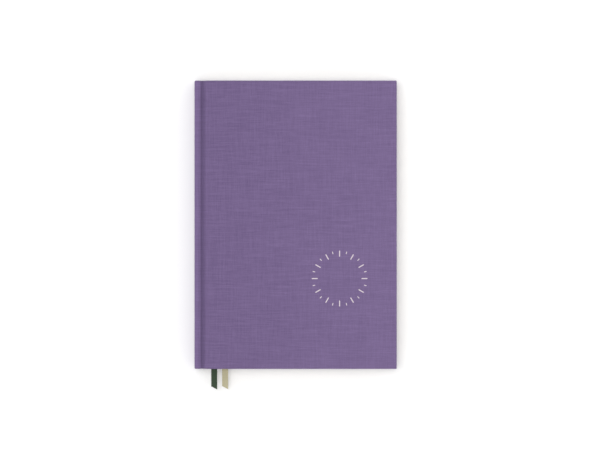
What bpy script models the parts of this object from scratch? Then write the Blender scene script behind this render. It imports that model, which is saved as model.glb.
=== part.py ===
"""A clothbound A5 planner with two ribbon markers, closed, lying on its back cover.

X runs from the spine to the fore-edge, Y from tail to head, Z up. The origin is under the middle of the
closed book. Lengths are written in millimetres and made metres by MM.
"""
import math

import bmesh
import bpy
from mathutils import Vector

MM = 0.001

# ---- driving dimensions -------------------------------------------------------------------------------
COVER_W, COVER_H = 151.5, 216.0      # outside of the case, spine face to fore-edge and tail to head
SQUARE, FORE_SQUARE = 3.0, 2.7       # board beyond the leaves at head and tail, and at the fore-edge
SECTIONS = 12                        # folded sections in the block
SECTION_T = 0.9                      # eight leaves of 0.11 mm paper
BOARD_T = 2.0                        # greyboard
CLOTH_T = 0.35                       # bookcloth with its paper backing
TURN_IN = 15.0                       # cloth folded to the inside of each board
ENDPAPER_T = 0.15
HOLLOW = 0.05                        # air between the spine's turn-ins and the lining
HINGE_EDGE = 5.2                     # folds of the sections to the hinge edge of each board
SPINE_BOARD_OVER = 2.55              # spine board beyond the block, at each side
MULL_T, LINING_T = 0.3, 0.25
THREAD_W, THREAD_T = 1.2, 0.25
RIBBON_W, RIBBON_T = 4.5, 0.2
RIBBON_PAST, RIBBON_SLANT = 13.5, 2.3    # short side below the tail edge, and the slant of the cut
GREEN_X, CREAM_X = 14.6, 22.7        # centres of the ribbons from the outside of the spine
HEADBAND_D = 1.5
JOINT_LAND, JOINT_DIP = 4.3, 2.0     # shoulder of the joint strip, and how far its groove dips

# ---- clearances ---------------------------------------------------------------------------------------
GLUE = 0.05                          # stands for each glue line
FLY_GAP = 0.25                       # flyleaf to pastedown, free air
HINGE_OUT = 0.25                     # hinge lines outside the cloth of each cover

# ---- derived ------------------------------------------------------------------------------------------
SECTION_GAP = RIBBON_T + 2 * GLUE
PITCH = SECTION_T + SECTION_GAP
BLOCK_T = SECTIONS * PITCH - SECTION_GAP
SPINE_TO_BLOCK = 2 * CLOTH_T + BOARD_T + HOLLOW + LINING_T + MULL_T + THREAD_T + 5 * GLUE
PAGE_W = COVER_W - SPINE_TO_BLOCK - FORE_SQUARE
PAGE_H = COVER_H - 2 * SQUARE
STACK = [GLUE, ENDPAPER_T, FLY_GAP, ENDPAPER_T, GLUE, CLOTH_T, GLUE, BOARD_T, GLUE, CLOTH_T]
LEVEL = [sum(STACK[:n]) for n in range(len(STACK) + 1)]   # heights above the block, layer by layer
CASE_T = LEVEL[-1]
TOTAL_T = BLOCK_T + 2 * CASE_T
X0 = -COVER_W / 2 + SPINE_TO_BLOCK   # the folds of the sections
Z0 = CASE_T                          # the underside of the block
FORE = COVER_W / 2
HALF = COVER_H / 2
SPINE_A, SPINE_B = 0.6, 1.2          # the spine turns about this point, in from the folds and up from the block
TURN_BACK = THREAD_T + MULL_T + LINING_T + 4 * GLUE       # sections turn about the lining, behind their folds
SPINE_REACH = SPINE_BOARD_OVER + GLUE + CLOTH_T           # spine cloth beyond the block

for obj in list(bpy.data.objects):
    bpy.data.objects.remove(obj, do_unlink=True)

COLOURS = {
    "linen": (0.205, 0.142, 0.287, 1.0),
    "board": (0.36, 0.33, 0.29, 1.0),
    "endpaper": (0.80, 0.77, 0.70, 1.0),
    "paper": (0.86, 0.84, 0.78, 1.0),
    "mull": (0.78, 0.76, 0.70, 1.0),
    "kraft": (0.42, 0.28, 0.16, 1.0),
    "thread": (0.82, 0.80, 0.74, 1.0),
    "band": (0.55, 0.48, 0.62, 1.0),
    "green": (0.041, 0.069, 0.038, 1.0),
    "cream": (0.45, 0.42, 0.30, 1.0),
}


def material_of(name, kind):
    mat = bpy.data.materials.new(name + "_" + kind)
    mat.use_nodes = True
    shader = mat.node_tree.nodes["Principled BSDF"]
    shader.inputs["Base Color"].default_value = COLOURS[kind]
    shader.inputs["Roughness"].default_value = 0.8
    mat.diffuse_color = COLOURS[kind]
    return mat


def pivot(name, x, y, z, parent=None):
    """An empty on a hinge line. Its place is kept in world millimetres."""
    obj = bpy.data.objects.new(name, None)
    obj.empty_display_size = 0.01
    bpy.context.scene.collection.objects.link(obj)
    obj["world"] = (x, y, z)
    start = Vector(parent["world"]) if parent else Vector((0, 0, 0))
    obj.parent = parent
    obj.location = (Vector((x, y, z)) - start) * MM
    return obj


def solid(name, kind, bm, centre, carrier):
    """Turns millimetres about `centre` into a named object under its pivot."""
    bmesh.ops.recalc_face_normals(bm, faces=bm.faces)
    bmesh.ops.scale(bm, vec=(MM, MM, MM), verts=bm.verts)
    mesh = bpy.data.meshes.new(name)
    bm.to_mesh(mesh)
    bm.free()
    obj = bpy.data.objects.new(name, mesh)
    bpy.context.scene.collection.objects.link(obj)
    obj.parent = carrier
    obj.location = (Vector(centre) - Vector(carrier["world"])) * MM
    if kind:
        mesh.materials.append(material_of(name, kind))
    return obj


def block(name, kind, x, y, z, carrier):
    """A plain sheet or board between three pairs of limits."""
    centre = [(a + b) / 2 for a, b in (x, y, z)]
    bm = bmesh.new()
    bmesh.ops.create_cube(bm, size=1.0)
    bmesh.ops.scale(bm, vec=(x[1] - x[0], y[1] - y[0], z[1] - z[0]), verts=bm.verts)
    return solid(name, kind, bm, centre, carrier)


def prism(name, kind, outline, axis, lo, hi, carrier):
    """An outline of (x, z) pairs drawn along Y, or of (x, y) pairs drawn along Z."""
    bm = bmesh.new()
    span = (hi - lo) / 2
    mid = (lo + hi) / 2
    cx = sum(p[0] for p in outline) / len(outline)
    cy = sum(p[1] for p in outline) / len(outline)

    def ring(off):
        if axis == "Y":
            return [bm.verts.new((u - cx, off, v - cy)) for u, v in outline]
        return [bm.verts.new((u - cx, v - cy, off)) for u, v in outline]

    low, high = ring(-span), ring(span)
    bm.faces.new(low)
    bm.faces.new(list(reversed(high)))
    count = len(outline)
    for n in range(count):
        m = (n + 1) % count
        bm.faces.new((low[m], low[n], high[n], high[m]))
    centre = (cx, mid, cy) if axis == "Y" else (cx, cy, mid)
    return solid(name, kind, bm, centre, carrier)


def cut(obj, x, y, z, name):
    """Takes a block out of obj."""
    tool = block(name, None, x, y, z, CUTTERS)
    tool.hide_render = True
    tool.display_type = "WIRE"
    mod = obj.modifiers.new("cut_" + name, "BOOLEAN")
    mod.operation = "DIFFERENCE"
    mod.solver = "EXACT"
    mod.object = tool
    return tool


def soften(obj, width, segments, keep):
    """Rounds the edges that keep() picks, given their two ends in millimetres about the object's middle."""
    mesh = obj.data
    attr = mesh.attributes.new("bevel_weight_edge", "FLOAT", "EDGE")
    for edge in mesh.edges:
        a, b = (mesh.vertices[v].co / MM for v in edge.vertices)
        attr.data[edge.index].value = 1.0 if keep(a, b) else 0.0
    mod = obj.modifiers.new("soften", "BEVEL")
    mod.limit_method = "WEIGHT"
    mod.width = width * MM
    mod.segments = segments
    return mod


# ---- hinge lines --------------------------------------------------------------------------------------
CUTTERS = pivot("cutters", 0, 0, 0)
ROOT = pivot("body_block", 0, 0, 0)
SPINE = pivot("body_spine", X0 + SPINE_A, 0, Z0 + SPINE_B, ROOT)
LEAVES = {SECTIONS: ROOT}
for number in range(SECTIONS - 1, 0, -1):
    base = Z0 + (SECTIONS - number) * PITCH
    LEAVES[number] = pivot("body_leaves_%02d" % number, X0 - TURN_BACK, 0, base, LEAVES[number + 1])
FRONT = pivot("body_front_cover", X0 + 0.4, 0, TOTAL_T + HINGE_OUT, LEAVES[1])
BACK = pivot("body_back_cover", X0 + 0.4, 0, -HINGE_OUT, ROOT)

# ---- text block ---------------------------------------------------------------------------------------
for number in range(1, SECTIONS + 1):
    base = Z0 + (SECTIONS - number) * PITCH
    section = block("section_%02d" % number, "paper", (X0, X0 + PAGE_W), (-PAGE_H / 2, PAGE_H / 2),
                    (base, base + SECTION_T), LEAVES[number])
    soften(section, 0.3, 3, lambda a, b: a.x < 0 and b.x < 0 and abs(a.y - b.y) > 1)

# ---- case: boards, cloth, endpapers -------------------------------------------------------------------
def case_half(side, carrier):
    """One cover. The front is built upwards from the block and the back is its mirror image below."""
    def z(low, high):
        if side == "front":
            return (Z0 + BLOCK_T + low, Z0 + BLOCK_T + high)
        return (Z0 - high, Z0 - low)

    left = X0 + HINGE_EDGE
    inner = HALF - CLOTH_T - GLUE
    block(side + "_board", "board", (left, FORE - CLOTH_T - GLUE), (-inner, inner), z(LEVEL[7], LEVEL[8]),
          carrier)
    cloth = block(side + "_cover_cloth", "linen", (left, FORE), (-HALF, HALF), z(LEVEL[5], LEVEL[10]), carrier)
    outer_z = 1 if side == "front" else -1
    soften(cloth, 0.5, 3, lambda a, b: (min(a.z * outer_z, b.z * outer_z) > 0
                                        and not (a.x < 0 and b.x < 0)) or (a.x > 0 and b.x > 0))
    cut(cloth, (left - 5, FORE - CLOTH_T), (-HALF + CLOTH_T, HALF - CLOTH_T), z(LEVEL[6], LEVEL[9]),
        side + "_board_space")
    cut(cloth, (left - 5, FORE - TURN_IN), (-HALF + TURN_IN, HALF - TURN_IN),
        z(LEVEL[5] - 1, LEVEL[6] + 0.5), side + "_window")
    block(side + "_pastedown", "endpaper", (left + 0.2, X0 + PAGE_W), (-PAGE_H / 2, PAGE_H / 2),
          z(LEVEL[3], LEVEL[4]), carrier)
    block(side + "_flyleaf", "endpaper", (X0 + 0.2, X0 + PAGE_W), (-PAGE_H / 2, PAGE_H / 2),
          z(LEVEL[1], LEVEL[2]), LEAVES[1] if side == "front" else ROOT)


case_half("front", FRONT)
case_half("back", BACK)

# the spine: a board strip in its own tray of cloth
SX = -COVER_W / 2
z_low, z_high = Z0 - SPINE_REACH, Z0 + BLOCK_T + SPINE_REACH
board_back = SX + CLOTH_T + GLUE
board_front = board_back + BOARD_T
block("spine_board", "board", (board_back, board_front), (-HALF + CLOTH_T + GLUE, HALF - CLOTH_T - GLUE),
      (Z0 - SPINE_BOARD_OVER, Z0 + BLOCK_T + SPINE_BOARD_OVER), SPINE)
spine_cloth = block("spine_cloth", "linen", (SX, board_front + GLUE + CLOTH_T), (-HALF, HALF), (z_low, z_high),
                    SPINE)
soften(spine_cloth, 0.5, 3, lambda a, b: a.x < 0 and b.x < 0)
cut(spine_cloth, (SX + CLOTH_T, board_front + GLUE), (-HALF + CLOTH_T, HALF - CLOTH_T),
    (z_low + CLOTH_T, z_high - CLOTH_T), "spine_board_space")
cut(spine_cloth, (board_front - 0.5, board_front + 2), (-HALF + TURN_IN, HALF - TURN_IN),
    (z_low + CLOTH_T, z_high - CLOTH_T), "spine_window")


# ---- the joint strips, pressed into the grooves -------------------------------------------------------
def joint_outline(side):
    """The strip's section: shoulder, steep drop into the groove, gentle rise to the cover's edge."""
    top = Z0 + BLOCK_T + LEVEL[9]            # underside of the outer cloth
    land = z_high - CLOTH_T
    start = board_front + 2 * GLUE + CLOTH_T
    shoulder = SX + JOINT_LAND
    low = Z0 + BLOCK_T + LEVEL[9] - JOINT_DIP
    under = [(start, land), (shoulder - 0.5, land), (shoulder, land - 0.35), (shoulder + 0.9, low + 0.2),
             (shoulder + 1.4, low), (shoulder + 2.0, low), (shoulder + 2.8, low + 0.5),
             (X0 + HINGE_EDGE - 0.95, top - 0.35), (X0 + HINGE_EDGE - GLUE, top)]
    upper = [(start, land + CLOTH_T), (shoulder - 0.3, land + CLOTH_T), (shoulder + 0.25, land - 0.15),
             (shoulder + 1.15, low + 0.45), (shoulder + 1.5, low + CLOTH_T), (shoulder + 1.9, low + CLOTH_T),
             (shoulder + 2.6, low + 0.8), (X0 + HINGE_EDGE - 1.1, top), (X0 + HINGE_EDGE - GLUE, top + CLOTH_T)]
    outline = under + list(reversed(upper))
    if side == "rear":
        outline = [(x, TOTAL_T - z) for x, z in outline]
    return outline


prism("front_joint_cloth", "linen", joint_outline("front"), "Y", -HALF, HALF, LEAVES[1])
prism("rear_joint_cloth", "linen", joint_outline("rear"), "Y", -HALF, HALF, ROOT)

# ---- what holds the sections together -----------------------------------------------------------------
thread_back = X0 - GLUE
for number in range(1, 6):
    y = (number - 3) * PAGE_H * 0.21
    thread = block("sewing_%d" % number, "thread", (thread_back - THREAD_T, thread_back),
                   (y - THREAD_W / 2, y + THREAD_W / 2), (Z0 + 0.3, Z0 + BLOCK_T - 0.3), ROOT)
mull_back = thread_back - THREAD_T - GLUE
block("mull", "mull", (mull_back - MULL_T, mull_back), (10 - PAGE_H / 2, PAGE_H / 2 - 10), (Z0 + 0.2, Z0 + BLOCK_T - 0.2), ROOT)
lining_back = mull_back - MULL_T - GLUE
block("spine_lining", "kraft", (lining_back - LINING_T, lining_back), (7 - PAGE_H / 2, PAGE_H / 2 - 7),
      (Z0 + 0.2, Z0 + BLOCK_T - 0.2), ROOT)
for name, sign in (("headband", 1), ("tailband", -1)):
    mid_x, mid_y, radius = X0 + 0.45, sign * (PAGE_H / 2 + GLUE + HEADBAND_D / 2), HEADBAND_D / 2
    ring = [(mid_x + radius * math.cos(math.tau * k / 14), mid_y + radius * math.sin(math.tau * k / 14))
            for k in range(14)]
    roll = prism(name, "band", ring, "Z", Z0 + 0.1, Z0 + BLOCK_T - 0.1, ROOT)
    tail = block(name + "_flange", None, (thread_back - THREAD_T, thread_back),
                 tuple(sorted((sign * (PAGE_H / 2 - 4.5), sign * (PAGE_H / 2 + 0.9)))), (Z0 + 0.1, Z0 + BLOCK_T - 0.1), CUTTERS)
    tail.hide_render = True
    tail.display_type = "WIRE"
    join = roll.modifiers.new("flange", "BOOLEAN")
    join.operation, join.solver, join.object = "UNION", "EXACT", tail


# ---- ribbons ------------------------------------------------------------------------------------------
def ribbon(name, kind, centre_x, below):
    """Glued at the head by the folds, slanting out across the leaf, then straight down past the tail."""
    base = Z0 + (SECTIONS - below) * PITCH + SECTION_T + GLUE
    head = PAGE_H / 2 - 2.0
    carrier = pivot("body_" + name, X0 + 0.3, head, base, LEAVES[below])
    half = RIBBON_W / 2
    run = -COVER_W / 2 + centre_x
    start = X0 + GLUE + half
    right, left = [], []
    for k in range(13):
        t = k / 12
        y = head - 90.0 * t
        ease = t * t * (3 - 2 * t)
        left.append((start + (run - start) * ease - half, y))
        right.append((start + (run - start) * ease + half, y))
    left.append((run - half, -HALF - RIBBON_PAST))
    right.append((run + half, -HALF - RIBBON_PAST - RIBBON_SLANT))
    return prism(name, kind, left + list(reversed(right)), "Z", base, base + RIBBON_T, carrier)


ribbon("green_ribbon", "green", GREEN_X, 5)
ribbon("cream_ribbon", "cream", CREAM_X, 9)
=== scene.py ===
# %% [markdown]
# # A clothbound planner
# This builds the look of a closed A5 planner on top of its measured solids. The case is purple linen
# bookcloth over board, and inside it are twelve sewn sections of leaves. Two ribbons hang out at
# the tail.

# %% Start from the solids
import math

import bmesh
import bpy
import numpy as np
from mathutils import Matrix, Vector


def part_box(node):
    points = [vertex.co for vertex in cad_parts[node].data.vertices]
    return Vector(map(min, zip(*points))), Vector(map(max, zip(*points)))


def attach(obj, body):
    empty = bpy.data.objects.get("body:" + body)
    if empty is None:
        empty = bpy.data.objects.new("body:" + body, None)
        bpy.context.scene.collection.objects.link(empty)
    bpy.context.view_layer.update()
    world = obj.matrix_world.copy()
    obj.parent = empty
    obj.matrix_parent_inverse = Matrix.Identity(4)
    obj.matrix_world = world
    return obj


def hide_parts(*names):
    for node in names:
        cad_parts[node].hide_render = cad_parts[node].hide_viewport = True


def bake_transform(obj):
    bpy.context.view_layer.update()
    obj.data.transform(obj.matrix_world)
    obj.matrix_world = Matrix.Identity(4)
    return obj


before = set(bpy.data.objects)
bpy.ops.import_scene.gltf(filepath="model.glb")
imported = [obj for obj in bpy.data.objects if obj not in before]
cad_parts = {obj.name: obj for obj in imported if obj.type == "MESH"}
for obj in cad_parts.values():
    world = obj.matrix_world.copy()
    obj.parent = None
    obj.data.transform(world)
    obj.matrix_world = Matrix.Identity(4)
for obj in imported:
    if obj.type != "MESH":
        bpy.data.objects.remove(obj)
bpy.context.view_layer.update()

MM = 0.001

# %% [markdown]
# ## Sizes read from the solids
# Every visible piece is fitted to the solid it stands for. The sizes could be typed in, but then they
# could drift from the solids, so they are read and nothing is typed twice. All working lengths below
# are millimetres.

# %% Sizes
def box_mm(node):
    low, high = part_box(node)
    return np.array(low) / MM, np.array(high) / MM


block_low, block_high = box_mm("section_12")[0], box_mm("section_01")[1]
case_low, case_high = box_mm("front_cover_cloth")
spine_low, spine_high = box_mm("spine_cloth")
joint_low, joint_high = box_mm("front_joint_cloth")
TOP = float(case_high[2])                 # outside of the front cover
HALF = float(case_high[1])                # middle to the head edge of the case
FOLD_X = float(block_low[0])              # folds of the sections
PAGE_X = float(block_high[0])             # fore-edge of the leaves
PAGE_Y = float(block_high[1])             # head edge of the leaves
PITCH = float(box_mm("section_11")[0][2] - block_low[2])
SECTIONS = 12
HINGE_X = float(case_low[0])              # hinge edge of the boards
SPINE_X = float(spine_low[0])             # outside of the spine
print("book", round(TOP, 2), "mm thick, leaves", round(PAGE_X - FOLD_X, 1),
      "by", round(2 * PAGE_Y, 1), "mm")

# %% [markdown]
# ## Camera
# The book is seen from straight above with a long lens. A short lens close by would show the sides of
# the case and make its edges lean, and a long one far off keeps them parallel. The frame is three times
# as wide as the book, which leaves it small in a wide white surround.

# %% Camera
FRAME_W = 449.3                           # width seen at the height of the cover
DISTANCE = 2600.0
FILM_W = 36.0
AIM_X, AIM_Y = 3.3, -0.2                  # middle of the view
FAR_LIMIT_M = 20.0
camera_data = bpy.data.cameras.new("overhead_camera")
camera = bpy.data.objects.new("overhead_camera", camera_data)
bpy.context.scene.collection.objects.link(camera)
camera_data.sensor_width = FILM_W
camera_data.lens = FILM_W * DISTANCE / FRAME_W
camera_data.clip_end = FAR_LIMIT_M
camera.location = (AIM_X * MM, AIM_Y * MM, (TOP + DISTANCE) * MM)
camera.rotation_euler = (0.0, 0.0, 0.0)
bpy.context.scene.camera = camera
print("lens", round(camera_data.lens, 1), "mm")

# %% [markdown]
# ## How a mesh is made
# Each piece is built in its place at rest, from points and faces. Every vertex also keeps its rest
# position, in millimetres, as the attribute "at". A pattern could use the ready-made object coordinates
# instead, but cloth and paper here bend with the hinges, and a stored rest position makes the weave
# stay on the cloth.

# %% Mesh helpers
def place(name, points, faces, material, at=None):
    """A mesh from millimetre points, with its rest positions stored for the patterns."""
    points = np.asarray(points, float)
    mesh = bpy.data.meshes.new(name)
    mesh.from_pydata((points * MM).tolist(), [], [list(map(int, f)) for f in faces])
    mesh.validate()
    store = mesh.attributes.new("at", "FLOAT_VECTOR", "POINT")
    store.data.foreach_set("vector", np.asarray(points if at is None else at, np.float32).ravel())
    mesh.materials.append(material)
    obj = bpy.data.objects.new(name, mesh)
    bpy.context.scene.collection.objects.link(obj)
    return obj


def facing_out(obj):
    bm = bmesh.new()
    bm.from_mesh(obj.data)
    bmesh.ops.recalc_face_normals(bm, faces=bm.faces)
    bm.to_mesh(obj.data)
    bm.free()
    return obj


def smooth_by_angle(obj, degrees):
    """Flat faces stay flat and rounded edges stay round."""
    obj.data.shade_smooth()
    obj.data.set_sharp_from_angle(angle=math.radians(degrees))
    return obj


def walls(sides, rows):
    """The quads between rings of points that follow each other."""
    faces = []
    for k in range(rows - 1):
        for m in range(sides):
            a, b = k * sides + m, k * sides + (m + 1) % sides
            faces.append([a, b, b + sides, a + sides])
    return faces


def capped(sides, rows):
    """The walls, with one face over each end."""
    last = sides * (rows - 1)
    return [list(range(sides))[::-1], list(range(last, last + sides))] + walls(sides, rows)


def rods_along_y(profile, ys):
    """A band's outline of (x, z), out along one side and back along the other, swept through ys."""
    n, last = len(profile), (len(ys) - 1) * len(profile)
    points = [(x, y, z) for y in ys for x, z in profile]
    faces = []
    for m in range(n // 2 - 1):           # quads close each end, so that it can bend
        cap = [m, m + 1, n - 2 - m, n - 1 - m]
        faces += [cap[::-1], [last + i for i in cap]]
    return points, faces + walls(n, len(ys))


def joined(parts):
    """Several (points, faces) as one."""
    points, faces = [], []
    for p, f in parts:
        base = len(points)
        points += [tuple(v) for v in p]
        faces += [[base + i for i in face] for face in f]
    return points, faces


def eased(t):
    """From 0 to 1 with a soft start and a soft end."""
    return t * t * (3 - 2 * t)


print("a square rod closes with", len(rods_along_y([(0, 0), (1, 0), (1, 1), (0, 1)], [0, 1])[1]),
      "faces")

# %% [markdown]
# ## Short names for material nodes
# A finish is a chain of small maths and noise nodes that starts at the rest position. It could be wired
# by hand in the node editor. Written with one short call for each node, it reads like a formula, and the
# same few calls serve cloth, paper, ribbon and foil. A number that is the same all over a surface goes
# straight on the shader.

# %% Node helpers
class Graph:
    """Short names for the nodes of one material."""

    def __init__(self, name):
        self.mat = bpy.data.materials.new(name)
        self.mat.use_nodes = True
        self.nodes, self.links = self.mat.node_tree.nodes, self.mat.node_tree.links
        self.shader = self.nodes["Principled BSDF"]
        at = self.nodes.new("ShaderNodeAttribute")
        at.attribute_name = "at"
        self.at = at.outputs["Vector"]
        split = self.nodes.new("ShaderNodeSeparateXYZ")
        self.links.new(self.at, split.inputs[0])
        self.x, self.y, self.z = split.outputs

    def feed(self, socket, value):
        """A number or a colour is set on the socket, and anything else is linked to it."""
        if isinstance(value, (int, float, tuple)):
            socket.default_value = value
        else:
            self.links.new(value, socket)

    def math(self, kind, a, b=0.0, c=None, clamp=False):
        node = self.nodes.new("ShaderNodeMath")
        node.operation, node.use_clamp = kind, clamp
        self.feed(node.inputs[0], a)
        self.feed(node.inputs[1], b)
        if c is not None:
            self.feed(node.inputs[2], c)
        return node.outputs[0]

    def vector(self, x, y, z=0.0):
        node = self.nodes.new("ShaderNodeCombineXYZ")
        for socket, value in zip(node.inputs, (x, y, z)):
            self.feed(socket, value)
        return node.outputs[0]

    def noise(self, where, scale=1.0, detail=2.0, rough=0.5):
        node = self.nodes.new("ShaderNodeTexNoise")
        self.links.new(where, node.inputs["Vector"])
        for key, value in (("Scale", scale), ("Detail", detail), ("Roughness", rough)):
            node.inputs[key].default_value = value
        return node.outputs["Fac"]

    def stretched(self, per_x, per_y, detail=2.0):
        """Noise with this many cycles to the millimetre along x and along y."""
        where = self.vector(self.math("MULTIPLY", self.x, per_x), self.math("MULTIPLY", self.y, per_y))
        return self.noise(where, 1.0, detail)

    def wave(self, value, spacing):
        """A sine that repeats every so many millimetres."""
        return self.math("SINE", self.math("MULTIPLY", value, math.tau / spacing))

    def ramp(self, value, low, high, out_low=0.0, out_high=1.0):
        node = self.nodes.new("ShaderNodeMapRange")
        node.interpolation_type = "SMOOTHSTEP"
        self.feed(node.inputs["Value"], value)
        for key, number in (("From Min", low), ("From Max", high),
                            ("To Min", out_low), ("To Max", out_high)):
            node.inputs[key].default_value = number
        return node.outputs["Result"]

    def mix(self, share, a, b):
        node = self.nodes.new("ShaderNodeMix")
        node.data_type = "RGBA"
        self.feed(node.inputs["Factor"], share)
        for key, value in (("A", a), ("B", b)):
            for socket in node.inputs:
                if socket.name == key and socket.type == "RGBA":
                    self.feed(socket, value)
        return next(socket for socket in node.outputs if socket.type == "RGBA")

    def bump(self, height, distance, strength=1.0):
        node = self.nodes.new("ShaderNodeBump")
        node.inputs["Strength"].default_value = strength
        node.inputs["Distance"].default_value = distance
        self.links.new(height, node.inputs["Height"])
        self.links.new(node.outputs["Normal"], self.shader.inputs["Normal"])

    def done(self, colour, rough, **constants):
        self.feed(self.shader.inputs["Base Color"], colour)
        self.feed(self.shader.inputs["Roughness"], rough)
        for key, value in constants.items():
            self.shader.inputs[key.replace("_", " ")].default_value = value
        return self.mat


def srgb(r, g, b):
    """Linear colour from a colour read as 0-255."""
    return tuple(((v / 255 + 0.055) / 1.055) ** 2.4 if v > 10 else v / 255 / 12.92
                 for v in (r, g, b)) + (1.0,)


print("a grey of 128 is", round(srgb(128, 128, 128)[0], 3), "in linear light")

# %% [markdown]
# ## Purple linen bookcloth
# Bookcloth is a plain weave of flax-like yarn, dyed in the piece and backed with paper so that glue
# can't come through. Its yarns vary in thickness. A thick stretch, called a slub, shows as a short pale
# streak along the thread, and most of them run with the weft, across the cover. Plain noise would look
# like felt, so the weave is drawn thread by thread: two sets cross, each on top in every other cell, and
# each thread has its own run of slubs.

# %% Bookcloth
THREAD = 0.42                             # spacing of the threads
STRAY = 0.5                               # how far a thread wanders from its line
FLATTENED = 0.7                           # below 1, a thread is flatter than round
LONG_SLUB = (0.045, 0.32, 0.76, 0.62)     # cycles per mm, starts at, full at, share
SHORT_SLUB = (0.17, 0.38, 0.74, 0.38)
NEXT_THREAD = 7.31                        # steps to an unlike stretch of noise
WARP_SLUBS = 0.8                          # the warp is spun more evenly than the weft
SLUB_CONTRAST, BEAT_CONTRAST, PATCH_CONTRAST = 0.95, 0.42, 0.20
# An offset that centres the cloth's tone, with a painted shade gradient in it: darker at the spine side,
# lighter towards the fore-edge.
TONE_AND_SHADE_AT_SPINE, TONE_AND_SHADE_AT_EDGE = -0.37, -0.13
# Painted highlight on the shoulder beside the spine, where the rounded cloth would catch the light.
SHOULDER_PAINTED_HIGHLIGHT = 0.26                             # paler on the shoulder beside the spine
GAP_SHADE = 0.55                          # how far the holes between threads darken
# Painted shade deep in the joint groove: the cloth darkens the lower it lies.
GROOVE_PAINTED_SHADE = 0.75                            # how far the cloth darkens deep in a groove
CLOTH_DARK, CLOTH_LIGHT = srgb(101, 84, 122), srgb(126, 107, 148)
# Colours of the painted shade in the holes between threads and deep in the groove.
CLOTH_SHADE, CLOTH_GROOVE_SHADE = srgb(80, 66, 99), srgb(92, 77, 112)


def linen_bookcloth(name):
    """Plain weave; the weft runs with x, across the cover."""
    g = Graph(name)
    u, v = g.x, g.y
    stray_v, stray_u = g.stretched(0.04, 0.3), g.stretched(0.3, 0.04)
    row = g.math("DIVIDE", g.math("ADD", v, g.math("MULTIPLY", stray_v, STRAY)), THREAD)
    column = g.math("DIVIDE", g.math("ADD", u, g.math("MULTIPLY", stray_u, STRAY)), THREAD)
    weft = g.math("SINE", g.math("MULTIPLY", row, math.pi))
    warp = g.math("SINE", g.math("MULTIPLY", column, math.pi))
    over = g.ramp(g.math("MULTIPLY", weft, warp), -0.25, 0.25)      # 1 where the weft is on top
    under = g.math("SUBTRACT", 1.0, over)
    round_weft = g.math("POWER", g.math("ABSOLUTE", weft), FLATTENED)
    round_warp = g.math("POWER", g.math("ABSOLUTE", warp), FLATTENED)

    def slubs(along, number, seed):
        """How thick and pale one thread is along its length."""
        thread = g.math("MULTIPLY_ADD", g.math("FLOOR", number), NEXT_THREAD, seed)

        def one(per_mm, starts, full, share, layer):
            run = g.vector(g.math("MULTIPLY", along, per_mm), thread, layer)
            return g.math("MULTIPLY", g.ramp(g.noise(run, 1.0, 1.0), starts, full), share)

        return g.math("ADD", one(*LONG_SLUB, 0.0), one(*SHORT_SLUB, 4.0))

    weft_slub, warp_slub = slubs(u, row, 0.0), slubs(v, column, 90.0)
    on_top = g.math("ADD", g.math("MULTIPLY", over, weft_slub),
                    g.math("MULTIPLY", under, g.math("MULTIPLY", warp_slub, WARP_SLUBS)))
    light = g.math("MULTIPLY", on_top, SLUB_CONTRAST)
    light = g.math("MULTIPLY_ADD", g.stretched(0.035, 0.75), BEAT_CONTRAST, light)
    light = g.math("MULTIPLY_ADD", g.stretched(0.02, 0.02, 3.0), PATCH_CONTRAST, light)
    # Painted shade gradient across the cover, darker towards the spine, on top of the tone offset.
    light = g.math("ADD", light, g.ramp(u, -75.0, 75.0, TONE_AND_SHADE_AT_SPINE, TONE_AND_SHADE_AT_EDGE))
    # Painted highlight: paler on the shoulder beside the spine.
    light = g.math("ADD", light, g.ramp(u, -73.4, -72.4, SHOULDER_PAINTED_HIGHLIGHT, 0.0), clamp=True)
    colour = g.mix(light, CLOTH_DARK, CLOTH_LIGHT)
    gap = g.math("SUBTRACT", 1.0, g.math("MAXIMUM", round_weft, round_warp))
    colour = g.mix(g.math("MULTIPLY", gap, GAP_SHADE), colour, CLOTH_SHADE)
    # Painted shade: darker the deeper the cloth lies in the groove.
    colour = g.mix(g.ramp(g.z, -1.9, -0.2, GROOVE_PAINTED_SHADE, 0.0), colour, CLOTH_GROOVE_SHADE)
    height = g.math("ADD", g.math("MULTIPLY", over, round_weft), g.math("MULTIPLY", under, round_warp))
    height = g.math("ADD", g.math("MULTIPLY", height, 0.55), g.math("MULTIPLY", on_top, 0.5))
    g.bump(height, 0.09 * MM, 0.55)
    return g.done(colour, 0.86, Specular_IOR_Level=0.22, Sheen_Weight=0.12, Sheen_Roughness=0.45)


purple_linen = linen_bookcloth("purple_linen")
print("cloth threads", THREAD, "mm apart")

# %% [markdown]
# ## Papers
# The leaves are uncoated ivory paper. The endpapers are the same shade and heavier, and a strip of brown
# kraft lines the spine. Uncoated paper is never one flat colour: short fibres mottle it finely, and the
# pulp lies in wide faint clouds. So two sizes of noise are added, and only the fine one has relief.

# %% Papers
def uncoated_paper(name, base, shade, grain=0.5):
    g = Graph(name)
    fibre = g.noise(g.at, 1.7, 4.0, 0.7)
    cloud = g.noise(g.at, 0.06, 3.0)
    share = g.math("ADD", g.math("MULTIPLY", fibre, 0.45), g.math("MULTIPLY", cloud, 0.5), clamp=True)
    g.bump(fibre, 0.02 * MM, grain)
    return g.done(g.mix(share, shade, base), 0.82, Specular_IOR_Level=0.25)


leaf_paper = uncoated_paper("ivory_leaf", srgb(238, 232, 218), srgb(228, 221, 205))
end_paper = uncoated_paper("endpaper_stock", srgb(235, 229, 214), srgb(225, 218, 202), 0.8)
kraft_paper = uncoated_paper("kraft_lining", srgb(176, 141, 98), srgb(150, 116, 76), 1.0)
print("papers:", leaf_paper.name, end_paper.name, kraft_paper.name)

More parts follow.
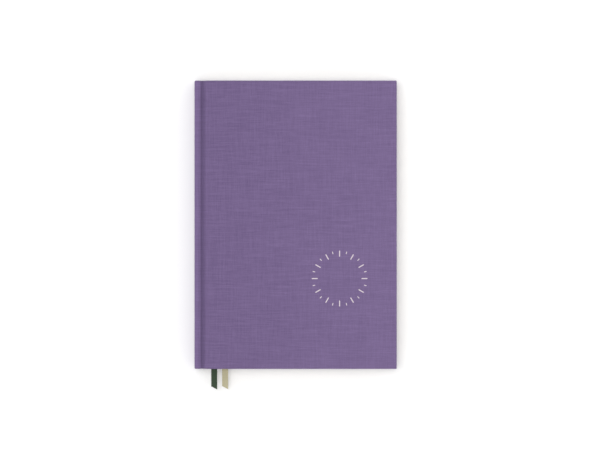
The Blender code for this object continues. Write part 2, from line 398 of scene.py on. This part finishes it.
# %% [markdown]
# ## Ribbon satin
# A marker ribbon is woven with a satin face, so it has fine ribs across it and a low shine that runs
# along it. The ribs are a wave along the length, finer than the eye can count. Slow noise stretched along
# the ribbon adds the uneven look that handling gives it.

# %% Ribbon satin
RIB, WARP_END = 0.32, 0.22                # spacing of the ribs and of the long threads


def woven_ribbon(name, base, shade):
    g = Graph(name)
    rib, warp = g.wave(g.y, RIB), g.wave(g.x, WARP_END)
    worn = g.stretched(3.0, 0.3, 3.0)
    share = g.math("ADD", g.math("MULTIPLY", rib, 0.18), g.math("MULTIPLY", worn, 0.8), clamp=True)
    g.bump(g.math("ADD", rib, g.math("MULTIPLY", warp, 0.5)), 0.03 * MM, 0.6)
    return g.done(g.mix(share, shade, base), 0.5, Specular_IOR_Level=0.2, Sheen_Weight=0.03,
                  Anisotropic=0.4)


green_satin = woven_ribbon("green_satin", srgb(60, 78, 57), srgb(40, 54, 39))
cream_satin = woven_ribbon("cream_satin", srgb(199, 192, 162), srgb(166, 159, 130))
print("ribbon ribs", RIB, "mm apart")

# %% [markdown]
# ## Thread, gauze and headband
# The sewing thread and the gauze show only when the spine opens. Both are spun, so one slanting wave
# gives their twist and noise gives their fluff. A headband is a cord wrapped with thread of two colours
# in turn, so its stripes are a coarse wave up the spine, and its relief is a fine one.

# %% Thread and headband
TWIST, STRIPE, WRAP = 0.5, 1.3, 0.26      # spacing of the twist, of the stripes and of the wraps


def spun_thread(name, base, shade):
    g = Graph(name)
    slant = g.math("ADD", g.math("ADD", g.x, g.y), g.math("MULTIPLY", g.z, 1.4))
    twist = g.wave(slant, TWIST)
    fluff = g.noise(g.at, 4.0, 3.0)
    share = g.math("ADD", g.math("MULTIPLY", twist, 0.25), fluff, clamp=True)
    g.bump(twist, 0.05 * MM, 0.7)
    return g.done(g.mix(share, shade, base), 0.8, Sheen_Weight=0.2)


def headband_weave(name):
    g = Graph(name)
    stripe = g.ramp(g.wave(g.z, STRIPE), -0.2, 0.2)
    g.bump(g.wave(g.z, WRAP), 0.04 * MM, 0.8)
    return g.done(g.mix(stripe, srgb(132, 112, 158), srgb(228, 222, 208)), 0.7, Sheen_Weight=0.2)


gauze_cloth = spun_thread("mull_gauze", srgb(232, 226, 208), srgb(196, 188, 168))
link_thread = spun_thread("link_thread", srgb(236, 232, 218), srgb(200, 192, 172))
band_weave = headband_weave("headband_weave")
print("headband stripes", STRIPE / 2, "mm wide")

# %% [markdown]
# ## Foil
# The motif is stamped through a matte pale film, so it has no mirror shine, and the weave under it breaks
# it up a little. A metal finish would flash as the book turns. A dielectric one with fine relief stays
# even, as the film does.

# %% Foil
def matte_foil(name):
    g = Graph(name)
    weave = g.noise(g.at, 2.2, 3.0, 0.6)
    g.bump(g.noise(g.at, 3.0, 2.0), 0.03 * MM, 0.5)
    return g.done(g.mix(weave, srgb(191, 178, 186), srgb(211, 199, 207)), 0.55,
                  Specular_IOR_Level=0.4)


pale_foil = matte_foil("pale_foil")
print("finishes made:", len([m for m in bpy.data.materials if m.use_nodes]))

# %% [markdown]
# ## The case: two covers and a spine
# A case maker lays three boards on one sheet of glued cloth and folds the cloth over their edges. So the
# outside is one surface that goes round every edge. Each cover here is a slab with rounded edges at the
# head, tail and fore-edge, where the cloth turns over the board. The hinge edge stays square, because the
# cloth runs on from it into the joint. Each side has weave coordinates of its own: one flat set for the
# whole slab would smear into lines on the edges.

# %% Covers and spine
ROUND, SPINE_ROUND = 0.62, 0.95           # radius of the cloth over a board's edge
ROUND_STEPS = 5
cover_middle_x = float(HINGE_X + case_high[0]) / 2


def wrapped(obj):
    """Gives every side its own weave coordinates, as cloth has when it is folded over an edge."""
    mesh = obj.data
    mesh.attributes.remove(mesh.attributes["at"])
    store = mesh.attributes.new("at", "FLOAT_VECTOR", "CORNER")
    for face in mesh.polygons:
        side = max(range(3), key=lambda k: abs(face.normal[k]))
        for loop in face.loop_indices:
            x, y, z = mesh.vertices[mesh.loops[loop].vertex_index].co / MM
            store.data[loop].vector = ((z, y, 5.0), (x, z, 9.0), (x, y, 0.0))[side]
    return obj


def wrapped_slab(name, low, high, radius, rounded):
    """A board in its cloth. rounded() picks the edges to round."""
    bm = bmesh.new()
    bmesh.ops.create_cube(bm, size=1.0)
    low, high = np.array(low, float), np.array(high, float)
    middle = (low + high) / 2
    for v in bm.verts:
        v.co = Vector(middle + np.array(v.co) * (high - low))
    edges = [e for e in bm.edges if rounded(*[v.co for v in e.verts])]
    bmesh.ops.bevel(bm, geom=edges, offset=radius, segments=ROUND_STEPS, profile=0.5, affect="EDGES")
    bmesh.ops.recalc_face_normals(bm, faces=bm.faces)
    bm.verts.index_update()
    points = [tuple(v.co) for v in bm.verts]
    faces = [[v.index for v in f.verts] for f in bm.faces]
    bm.free()
    slab = wrapped(place(name, points, faces, purple_linen))
    return smooth_by_angle(slab, 35)


def away_from_hinge(a, b):
    return not (a.x < cover_middle_x and b.x < cover_middle_x)


def outside_of_spine(a, b):
    return a.x < SPINE_X + 0.1 or b.x < SPINE_X + 0.1


for name, cloth, board, body, radius, rounded in (
        ("front_cover_case", "front_cover_cloth", "front_board", "front_cover", ROUND, away_from_hinge),
        ("back_cover_case", "back_cover_cloth", "back_board", "back_cover", ROUND, away_from_hinge),
        ("spine_case", "spine_cloth", "spine_board", "spine", SPINE_ROUND, outside_of_spine)):
    slab = wrapped_slab(name, *box_mm(cloth), radius, rounded)
    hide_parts(cloth, board)
    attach(slab, body)
print("covers", round(float(case_high[2] - case_low[2]), 2), "mm thick with", ROUND, "mm edges")

# %% [markdown]
# ## The joints
# Between the spine and each board the cloth is pressed down with a hot iron, and the groove is what lets
# the cover swing. The profile follows the solid strip: a flat shoulder beside the spine, a steep drop,
# and a slower rise to the board. One strip riding on the cover would tear away from the spine, so it is
# made as two pieces: the shoulder turns with the spine, and the groove is a strip of its own. Inside, the
# endpaper crosses from the first leaf's fold to the board, and it is what shows in the gutter when the
# cover is thrown back.

# %% Lines of the joint
CLOTH = 0.35                              # thickness of the cloth
SHOULDER_W = 4.3                          # outside of the spine to the edge of the shoulder
SEAM_IN = 0.55                            # the two pieces meet this far past the spine
land_z = float(spine_high[2]) - CLOTH / 2
shoulder_x = SPINE_X + SHOULDER_W
seam_x = float(spine_high[0]) + SEAM_IN
groove_low = float(joint_low[2]) + CLOTH / 2
fly_top = float(box_mm("front_flyleaf")[1][2])


def soft_line(knots, steps):
    """A smooth line through (x, z) knots."""
    knots = np.array(knots, float)
    padded = np.vstack([2 * knots[0] - knots[1], knots, 2 * knots[-1] - knots[-2]])
    line = []
    for n in range(1, len(padded) - 2):
        p0, p1, p2, p3 = padded[n - 1:n + 3]
        for k in range(steps):
            t = k / steps
            line.append(0.5 * (2 * p1 + (p2 - p0) * t + (2 * p0 - 5 * p1 + 4 * p2 - p3) * t * t
                               + (3 * p1 - p0 - 3 * p2 + p3) * t ** 3))
    line.append(padded[-2])
    return np.array(line)


land_line = np.array([(float(spine_high[0]), land_z), (seam_x, land_z)])
groove_line = soft_line([
    (seam_x, land_z), (shoulder_x - 0.35, land_z),                          # flat shoulder
    (shoulder_x + 0.15, land_z - 0.22), (shoulder_x + 0.85, groove_low + 0.42),   # steep drop
    (shoulder_x + 1.5, groove_low), (shoulder_x + 2.3, groove_low + 0.22),  # bottom
    (shoulder_x + 3.3, groove_low + 0.95), (HINGE_X - 0.75, TOP - CLOTH / 2 - 0.30),
    (HINGE_X, TOP - CLOTH / 2)], 4)                                         # rise to the board
endpaper_line = np.array([(x, fly_top + 0.07 + 0.06 * min((x - FOLD_X) / 0.8, 1.0))
                          for x in np.linspace(FOLD_X, HINGE_X + 0.3, 30)])
print("groove", round(TOP - groove_low, 2), "mm deep")

# %% [markdown]
# ## The joint strips
# Each line becomes a thin strip as long as the case. The rear strips are the front ones turned over.

# %% Joint strips
ENDPAPER_BEND_T = 0.12
GROOVE_INSET = 0.12                       # keeps its ends inside the spine when the book is open


def thick_line(line, thickness):
    """The closed outline of a line given a thickness."""
    run = np.gradient(line, axis=0)
    normal = np.stack([-run[:, 1], run[:, 0]], 1)
    normal /= np.linalg.norm(normal, axis=1)[:, None]
    normal[0], normal[-1] = (0, 1), (0, 1)
    return np.vstack([line + normal * (thickness / 2), (line - normal * (thickness / 2))[::-1]])


def joint_strip(name, line, thickness, material, rear, inset=0.0):
    outline = thick_line(line, thickness)
    if rear:
        outline = outline * np.array([1, -1]) + np.array([0, TOP])
    points, faces = rods_along_y(outline, [inset - HALF, HALF - inset])
    # The third rest coordinate is the depth below the shoulder, which sets the painted shade in the
    # groove.
    at = [(x, y, min((TOP - z if rear else z) - land_z, 0.0)) for x, y, z in points]
    strip = smooth_by_angle(facing_out(place(name, points, faces, material, at)), 45)
    return strip


for side, node, near, far in (("front", "front_joint_cloth", "leaves_01", "front_cover"),
                              ("rear", "rear_joint_cloth", "block", "back_cover")):
    rear = side == "rear"
    land = joint_strip(side + "_joint_shoulder", land_line, CLOTH, purple_linen, rear)
    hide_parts(node)
    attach(land, "spine")
    groove = joint_strip(side + "_joint_groove", groove_line, CLOTH, purple_linen,
                         rear, GROOVE_INSET)
    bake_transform(groove)
    lining = joint_strip(side + "_joint_endpaper", endpaper_line, ENDPAPER_BEND_T, end_paper,
                         rear, HALF - PAGE_Y)
    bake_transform(lining)
print("joint strips", round(HINGE_X - seam_x, 2), "mm wide")

# %% [markdown]
# ## Endpapers
# A folded sheet joins each cover to the block. One half, the pastedown, is glued inside the board. The
# edge of the turned-in cloth shows through it as a low step, 15 mm in from the board's edges. Bump could
# only shade that step, so it is modelled, with rows of points close together where it falls. The other
# half, the flyleaf, is free and flat.

# %% Endpapers
TURN_IN, STEP_W = 15, 0.8                 # width of the turned-in cloth, and of the step at its edge
STEP_H = 0.10


def pastedown(name, node, body, into):
    """into is 1 where the board lies above the sheet, and -1 where it lies below."""
    low, high = box_mm(node)
    step = np.linspace(-STEP_W, STEP_W, 9)
    xs = np.unique(np.concatenate([np.linspace(low[0], high[0], 30), case_high[0] - TURN_IN + step]))
    yy = np.unique(np.concatenate([np.linspace(low[1], high[1], 30), HALF - TURN_IN + step,
                                   TURN_IN - HALF + step]))
    outer = low[2] if into > 0 else high[2]            # the side towards the leaves
    inner = high[2] if into > 0 else low[2]
    rows = []
    for y in yy:
        for x in xs:
            edge = min(case_high[0] - x, HALF - abs(y))
            t = min(max((edge - (TURN_IN - STEP_W / 2)) / STEP_W, 0.0), 1.0)
            rows.append((x, y, eased(t)))
    n, m = len(xs), len(yy)
    front = [(x, y, outer + into * (0.02 + STEP_H * t)) for x, y, t in rows]
    rear = [(x, y, inner + into * 0.05) for x, y, t in rows]
    faces = []
    for j in range(m - 1):
        for i in range(n - 1):
            a = j * n + i
            faces.append([a, a + 1, a + n + 1, a + n])
            faces.append([a + n * m, a + n + n * m, a + n + 1 + n * m, a + 1 + n * m])
    rim = (list(range(n)) + [j * n + n - 1 for j in range(1, m)]
           + [(m - 1) * n + i for i in range(n - 2, -1, -1)] + [j * n for j in range(m - 2, 0, -1)])
    for k, a in enumerate(rim):
        b = rim[(k + 1) % len(rim)]
        faces.append([b, a, a + n * m, b + n * m])
    obj = smooth_by_angle(facing_out(place(name, front + rear, faces, end_paper)), 50)
    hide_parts(node)
    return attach(obj, body)


def flyleaf(name, node, body):
    low, high = box_mm(node)
    outline = [(low[0], low[2]), (high[0], low[2]), (high[0], high[2]), (low[0], high[2])]
    points, faces = rods_along_y(outline, [low[1], high[1]])
    obj = facing_out(place(name, points, faces, end_paper))
    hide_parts(node)
    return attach(obj, body)


pastedown("front_pastedown_sheet", "front_pastedown", "front_cover", 1)
pastedown("back_pastedown_sheet", "back_pastedown", "back_cover", -1)
flyleaf("front_flyleaf_sheet", "front_flyleaf", "leaves_01")
flyleaf("back_flyleaf_sheet", "back_flyleaf", "block")
print("the turned-in cloth shows", TURN_IN, "mm in from the edges of the boards")

# %% [markdown]
# ## Twelve sections of leaves
# Each section is four sheets folded once and nested, which makes eight leaves. A block with lines drawn
# on its edges would look right while the book is shut and wrong when it opens, so every sheet is
# modelled, with its fold at the spine. The last section rides on the block. Two sections are packed
# tighter, because a ribbon lies on each.

# %% Leaves
LEAF_T, LEAVES = 0.105, 8
LOOSE_STEP, TIGHT_STEP = 0.1425, 0.1125   # from one leaf to the next
RIBBON_ON = (5, 9)
TRIM_SLIP = 0.03                          # how unevenly the knife leaves the edges
FOLD_POINTS = 9
rng = np.random.default_rng(11)


def body_of_section(number):
    return "block" if number == SECTIONS else "leaves_%02d" % number


def section_sheets(number):
    low, high = box_mm("section_%02d" % number)
    step = TIGHT_STEP if number in RIBBON_ON else LOOSE_STEP
    reach = (LEAVES - 1) / 2 * step
    middle, centre = low[2] + reach + LEAF_T / 2, low[0] + reach + LEAF_T / 2
    turn = np.linspace(math.pi / 2, 3 * math.pi / 2, FOLD_POINTS)
    parts = []
    for sheet in range(LEAVES // 2):
        out_r = reach - sheet * step + LEAF_T / 2
        in_r = out_r - LEAF_T
        trim = high[0] - abs(rng.normal(0, TRIM_SLIP, 2))
        outer = [(centre + out_r * math.cos(a), middle + out_r * math.sin(a)) for a in turn]
        inner = [(centre + in_r * math.cos(a), middle + in_r * math.sin(a)) for a in turn[::-1]]
        outline = ([(trim[0], middle + out_r)] + outer + [(trim[1], middle - out_r)]
                   + [(trim[1], middle - in_r)] + inner + [(trim[0], middle + in_r)])
        slip = rng.normal(0, TRIM_SLIP, 2)
        parts.append(rods_along_y(outline, [low[1] + abs(slip[0]), high[1] - abs(slip[1])]))
    points, faces = joined(parts)
    name = "leaves_of_section_%02d" % number
    obj = smooth_by_angle(facing_out(place(name, points, faces, leaf_paper)), 40)
    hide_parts("section_%02d" % number)
    body = body_of_section(number)
    if number == SECTIONS:
        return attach(obj, body)
    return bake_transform(obj)


for number in range(1, SECTIONS + 1):
    section_sheets(number)
print(SECTIONS * LEAVES, "leaves")

# %% [markdown]
# ## What holds the sections together
# The sections are linked by thread across their folds, then gauze and a kraft lining are glued over them,
# and a small rolled band finishes each end. All of this flexes when the book opens. One long strip can
# bend at a single hinge only, so each layer is cut into short lengths, one for each section.

# %% How a spine layer is cut
ROWS = 4                                  # rows of points up each length
SHORTEST = 0.05


def spine_layer(name, node_names, build, material):
    """build(low z, high z) gives the layer between two heights. Lengths meet at mid-section."""
    base = float(block_low[2])
    first_low, first_high = box_mm(node_names[0])
    cuts = [float(first_low[2])] + [base + PITCH * (k + 0.5) for k in range(SECTIONS)]
    cuts[-1] = float(first_high[2])
    for k in range(SECTIONS):
        lo, hi = cuts[k], cuts[k + 1]
        if hi - lo < SHORTEST:
            continue
        points, faces = build(lo, hi)
        length = place("%s_%02d" % (name, SECTIONS - k), points, faces, material)
        smooth_by_angle(facing_out(length), 50)
        if k == 0:
            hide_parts(*node_names)
            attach(length, "block")
            continue
        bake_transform(length)


def slab_rows(x_low, x_high, y_low, y_high, lo, hi):
    """A thin upright strip with rows of points up its height, so that it can bend."""
    points = []
    for z in np.linspace(lo, hi, ROWS):
        points += [(x_low, y_low, z), (x_high, y_low, z), (x_high, y_high, z), (x_low, y_high, z)]
    return points, [[0, 1, 2, 3], [4 * (ROWS - 1) + i for i in (3, 2, 1, 0)]] + walls(4, ROWS)


print("spine layers are cut every", round(PITCH, 3), "mm")

# %% [markdown]
# ## Thread, gauze, lining and bands
# Each sewing station is two runs of thread side by side. The gauze and the lining are plain strips. A
# band is a cord with a narrow flange, which is the part that is glued to the spine.

# %% Spine layers
STATIONS = 5
RUN_APART, RUN_W = 0.3, 0.2               # half the gap between two runs, and half a run's width
BAND_R, BAND_SIDES = 0.75, 14
FLANGE_T, FLANGE_W, FLANGE_LAP = 0.2, 4.5, 0.3


def flat_layer(node):
    low, high = box_mm(node)
    return lambda lo, hi: slab_rows(low[0], high[0], low[1], high[1], lo, hi)


def thread_layer(lo, hi):
    parts = []
    for station in range(1, STATIONS + 1):
        low, high = box_mm("sewing_%d" % station)
        for shift in (-RUN_APART, RUN_APART):
            y = (low[1] + high[1]) / 2 + shift
            parts.append(slab_rows(low[0] + 0.02, high[0], y - RUN_W, y + RUN_W, lo, hi))
    return joined(parts)


def band_layer(node):
    low, high = box_mm(node)
    sign = 1 if low[1] > 0 else -1
    cx = high[0] - BAND_R
    cy = (high[1] - BAND_R) if sign > 0 else (low[1] + BAND_R)
    inner = PAGE_Y * sign
    across = sorted((inner - FLANGE_W * sign, inner + FLANGE_LAP * sign))

    def build(lo, hi):
        ring = [(cx + BAND_R * math.cos(a), cy + BAND_R * math.sin(a))
                for a in np.linspace(0, math.tau, BAND_SIDES, endpoint=False)]
        points = [(x, y, z) for z in np.linspace(lo, hi, ROWS) for x, y in ring]
        flange = slab_rows(low[0], low[0] + FLANGE_T, *across, lo, hi)
        return joined([(points, capped(BAND_SIDES, ROWS)), flange])

    return build


sewing_nodes = ["sewing_%d" % station for station in range(1, STATIONS + 1)]
spine_layer("link_sewing", sewing_nodes, thread_layer, link_thread)
spine_layer("gauze", ["mull"], flat_layer("mull"), gauze_cloth)
spine_layer("kraft", ["spine_lining"], flat_layer("spine_lining"), kraft_paper)
spine_layer("head_roll", ["headband"], band_layer("headband"), band_weave)
spine_layer("tail_roll", ["tailband"], band_layer("tailband"), band_weave)
print(STATIONS, "sewing stations, bands", 2 * BAND_R, "mm round")

# %% [markdown]
# ## Two ribbon markers
# Each ribbon is glued at the head of the spine, slants out between two sections and hangs past the tail,
# where it is cut on a slant. It is 4.5 mm wide, with a firmer woven edge at each side. It is limp, so
# the free end droops a little. A flat strip would do for the middle, but the free end is seen close, so
# the ribbon has a section of its own, with a bead along each edge.

# %% Ribbons
RIBBON_HALF_W = 2.25
SLANT = 2.3                               # how much longer one side is than the other
SWEEP = 90.0                              # length over which it slants out from the spine
DROOP, CURL = 0.0065, 0.10                # sag per mm squared past the tail, lift of the edges
SLANT_ROWS = 13
ACROSS = (-1, -0.93, -0.82, -0.4, 0, 0.4, 0.82, 0.93, 1.0)
BEAD = (0.55, 1.0, 0.66, 0.6, 0.6, 0.6, 0.66, 1.0, 0.55)


def ribbon(name, node, body, material):
    low, high = box_mm(node)
    run_x = float(high[0]) - RIBBON_HALF_W             # middle of the straight part
    start_x = float(low[0]) + RIBBON_HALF_W
    head, tail_short = float(high[1]), float(low[1]) + SLANT
    rows = [(head - SWEEP * t, start_x + (run_x - start_x) * eased(t)) for t in np.linspace(0, 1, 31)]
    rows += [(y, run_x) for y in np.linspace(head - SWEEP - 3.0, -HALF - 0.5, 34)]
    rows += [(y, run_x) for y in np.linspace(-HALF - 1.5, tail_short + 0.01, SLANT_ROWS + 1)]
    thick = float(high[2] - low[2])
    middle_z = float(low[2]) + thick / 2

    def sag(y):
        return DROOP * max(-HALF - y, 0.0) ** 2

    def section(y, x, slant):
        out = max(-HALF - y, 0.0)
        ring = []
        for upper in (1, -1):
            for a, bead in list(zip(ACROSS, BEAD))[::upper]:
                lift = upper * bead * thick / 2 + CURL * a * a * min(out / 10, 1.0)
                ring.append((x + a * RIBBON_HALF_W, y - slant * (a + 1) / 2 * SLANT,
                             middle_z + lift - sag(y)))
        return ring

    points, last = [], len(rows) - 1
    for k, (y, x) in enumerate(rows):
        points += section(y, x, max(0.0, (k - last + SLANT_ROWS) / SLANT_ROWS))
    faces = capped(2 * len(ACROSS), len(rows))
    obj = smooth_by_angle(facing_out(place(name, points, faces, material)), 60)
    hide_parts(node)
    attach(obj, body)
    path = [(x * MM, y * MM, (middle_z - sag(y)) * MM) for y, x in rows]
    path.append((path[-1][0], path[-1][1] - SLANT / 2 * MM, path[-1][2]))


ribbon("green_ribbon_marker", "green_ribbon", "green_marker", green_satin)
ribbon("cream_ribbon_marker", "cream_ribbon", "cream_marker", cream_satin)

# %% [markdown]
# ## Foil motif
# A plain ring of twelve long bars with a short one between each two, like a blank dial, is stamped low on
# the front cover. It could be painted into the cloth's material, but its edges would then blur into the
# weave. Foil lies on the cloth, so each bar is a thin plate that stands only just above it.

# %% Foil ring
RING_X, RING_Y = SPINE_X + 108.7, -HALF + 67.7
RING_OUT = 20.9
TICKS = 24
LONG_BAR, SHORT_BAR = (4.5, 0.8), (2.0, 0.6)           # length and width
BAR_SIDES = 16
FOIL_UNDER, FOIL_OVER = 0.02, 0.025                    # below and above the face of the cloth


def foil_bar(angle, length, width):
    """A slim bar along the radius, with rounded ends."""
    rim = []
    for k in range(BAR_SIDES):
        turn = math.tau * (k + 0.5) / BAR_SIDES
        end = RING_OUT - width / 2 if math.cos(turn) > 0 else RING_OUT - length + width / 2
        r, side = end + math.cos(turn) * width / 2, math.sin(turn) * width / 2
        rim.append((RING_X + r * math.cos(angle) - side * math.sin(angle),
                    RING_Y + r * math.sin(angle) + side * math.cos(angle)))
    points = [(x, y, z) for z in (TOP - FOIL_UNDER, TOP + FOIL_OVER) for x, y in rim]
    return points, capped(BAR_SIDES, 2)


points, faces = joined([foil_bar(math.tau * k / TICKS, *(SHORT_BAR if k % 2 else LONG_BAR))
                        for k in range(TICKS)])
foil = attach(facing_out(place("foil_ring", points, faces, pale_foil)), "front_cover")
print("foil ring", RING_OUT * 2, "mm across")

# %% [markdown]
# ## Floor and light
# The floor is a plain white sweep. One hard lamp would throw a dark shadow to one side. The light here is
# a wide soft box overhead with an even surround, so the book has only a soft, narrow shadow all round.

# %% Stage
FLOOR_WHITE, FLOOR_REACH_M = (0.955, 0.955, 0.955, 1.0), 3.0
BOX_AT, BOX_SIZE_M, BOX_POWER_W = (-0.5, 0.15, 3.4), 1.6, 35.0
SURROUND = 0.935


def white_floor():
    r = FLOOR_REACH_M
    mesh = bpy.data.meshes.new("floor")
    mesh.from_pydata([(-r, -r, 0), (r, -r, 0), (r, r, 0), (-r, r, 0)], [], [[0, 1, 2, 3]])
    mesh.materials.append(Graph("white_sweep").done(FLOOR_WHITE, 0.9, Specular_IOR_Level=0.1))
    obj = bpy.data.objects.new("floor", mesh)
    bpy.context.scene.collection.objects.link(obj)
    return obj


def soft_box(name, where, size, power):
    light = bpy.data.lights.new(name, "AREA")
    light.shape, light.size, light.energy = "SQUARE", size, power
    obj = bpy.data.objects.new(name, light)
    bpy.context.scene.collection.objects.link(obj)
    obj.location = where
    obj.rotation_euler = (-Vector(where)).to_track_quat("-Z", "Y").to_euler()
    return obj


white_floor()
soft_box("overhead_box", BOX_AT, BOX_SIZE_M, BOX_POWER_W)
world = bpy.data.worlds.new("surround")
world.use_nodes = True
background = world.node_tree.nodes["Background"]
background.inputs["Color"].default_value = (1.0, 1.0, 1.0, 1.0)
background.inputs["Strength"].default_value = SURROUND
bpy.context.scene.world = world
bpy.context.scene.view_settings.view_transform = "Standard"
bpy.context.scene.view_settings.look = "None"
print("soft box of", BOX_SIZE_M, "m, surround at", SURROUND)
